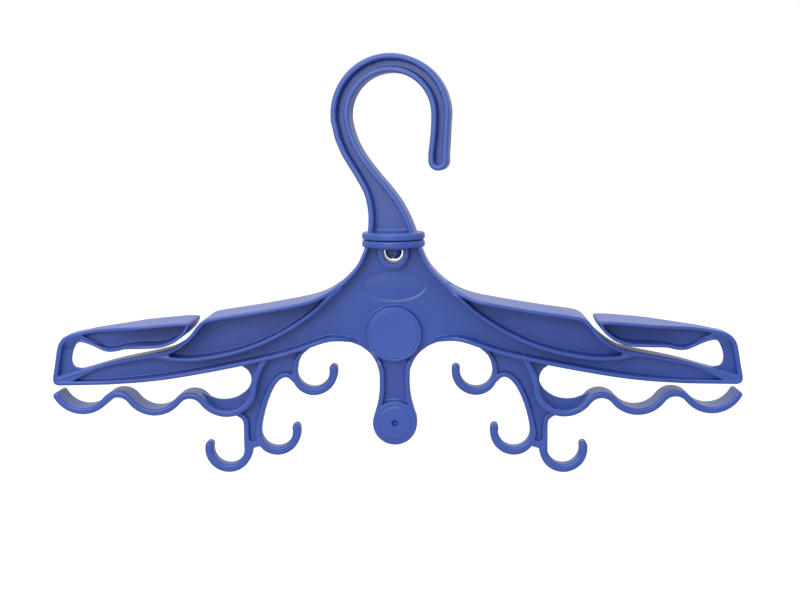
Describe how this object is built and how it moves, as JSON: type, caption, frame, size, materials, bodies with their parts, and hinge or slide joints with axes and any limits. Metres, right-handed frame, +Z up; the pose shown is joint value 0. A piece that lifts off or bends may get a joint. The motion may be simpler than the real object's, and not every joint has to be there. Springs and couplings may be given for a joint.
{
  "type": "multi-purpose drying hanger",
  "caption": "Moulded plastic hanger with a swivel hook, wide ribbed shoulders, sprung end jaws, scalloped strap rails, open hose hooks and a regulator pad.",
  "frame": {"origin": "on the swivel axis, at the height of the lowest point of the hose hooks", "axes": "+X to the hanger's right seen from the front, +Y from front to back, +Z up along the swivel axis"},
  "size_m": [0.4998, 0.046, 0.3003],
  "materials": {
    "frame_plastic": "satin injection-moulded polypropylene, royal blue",
    "hook_plastic": "satin injection-moulded polypropylene, royal blue"
  },
  "bodies": {
    "frame": {"hanger_frame": "frame_plastic"},
    "hook": {"swivel_hook": "hook_plastic"},
    "jaw_left": {"clip_jaw_left": "frame_plastic"},
    "jaw_right": {"clip_jaw_right": "frame_plastic"}
  },
  "joints": [
    {"name": "hook_swivel", "type": "hinge", "parent": "frame", "child": "hook", "pos_m": [0, 0, 0.1691], "axis": [0, 0, 1], "continuous": true},
    {"name": "jaw_flex_right", "type": "hinge", "parent": "frame", "child": "jaw_right", "pos_m": [0.23, 0, 0.1], "axis": [0, 1, 0], "range_deg": [-0.8, 6], "stiffness_Nm_per_rad": 5},
    {"name": "jaw_flex_left", "type": "hinge", "parent": "frame", "child": "jaw_left", "pos_m": [-0.23, 0, 0.1], "axis": [0, -1, 0], "range_deg": [-0.8, 6], "stiffness_Nm_per_rad": 5}
  ]
}
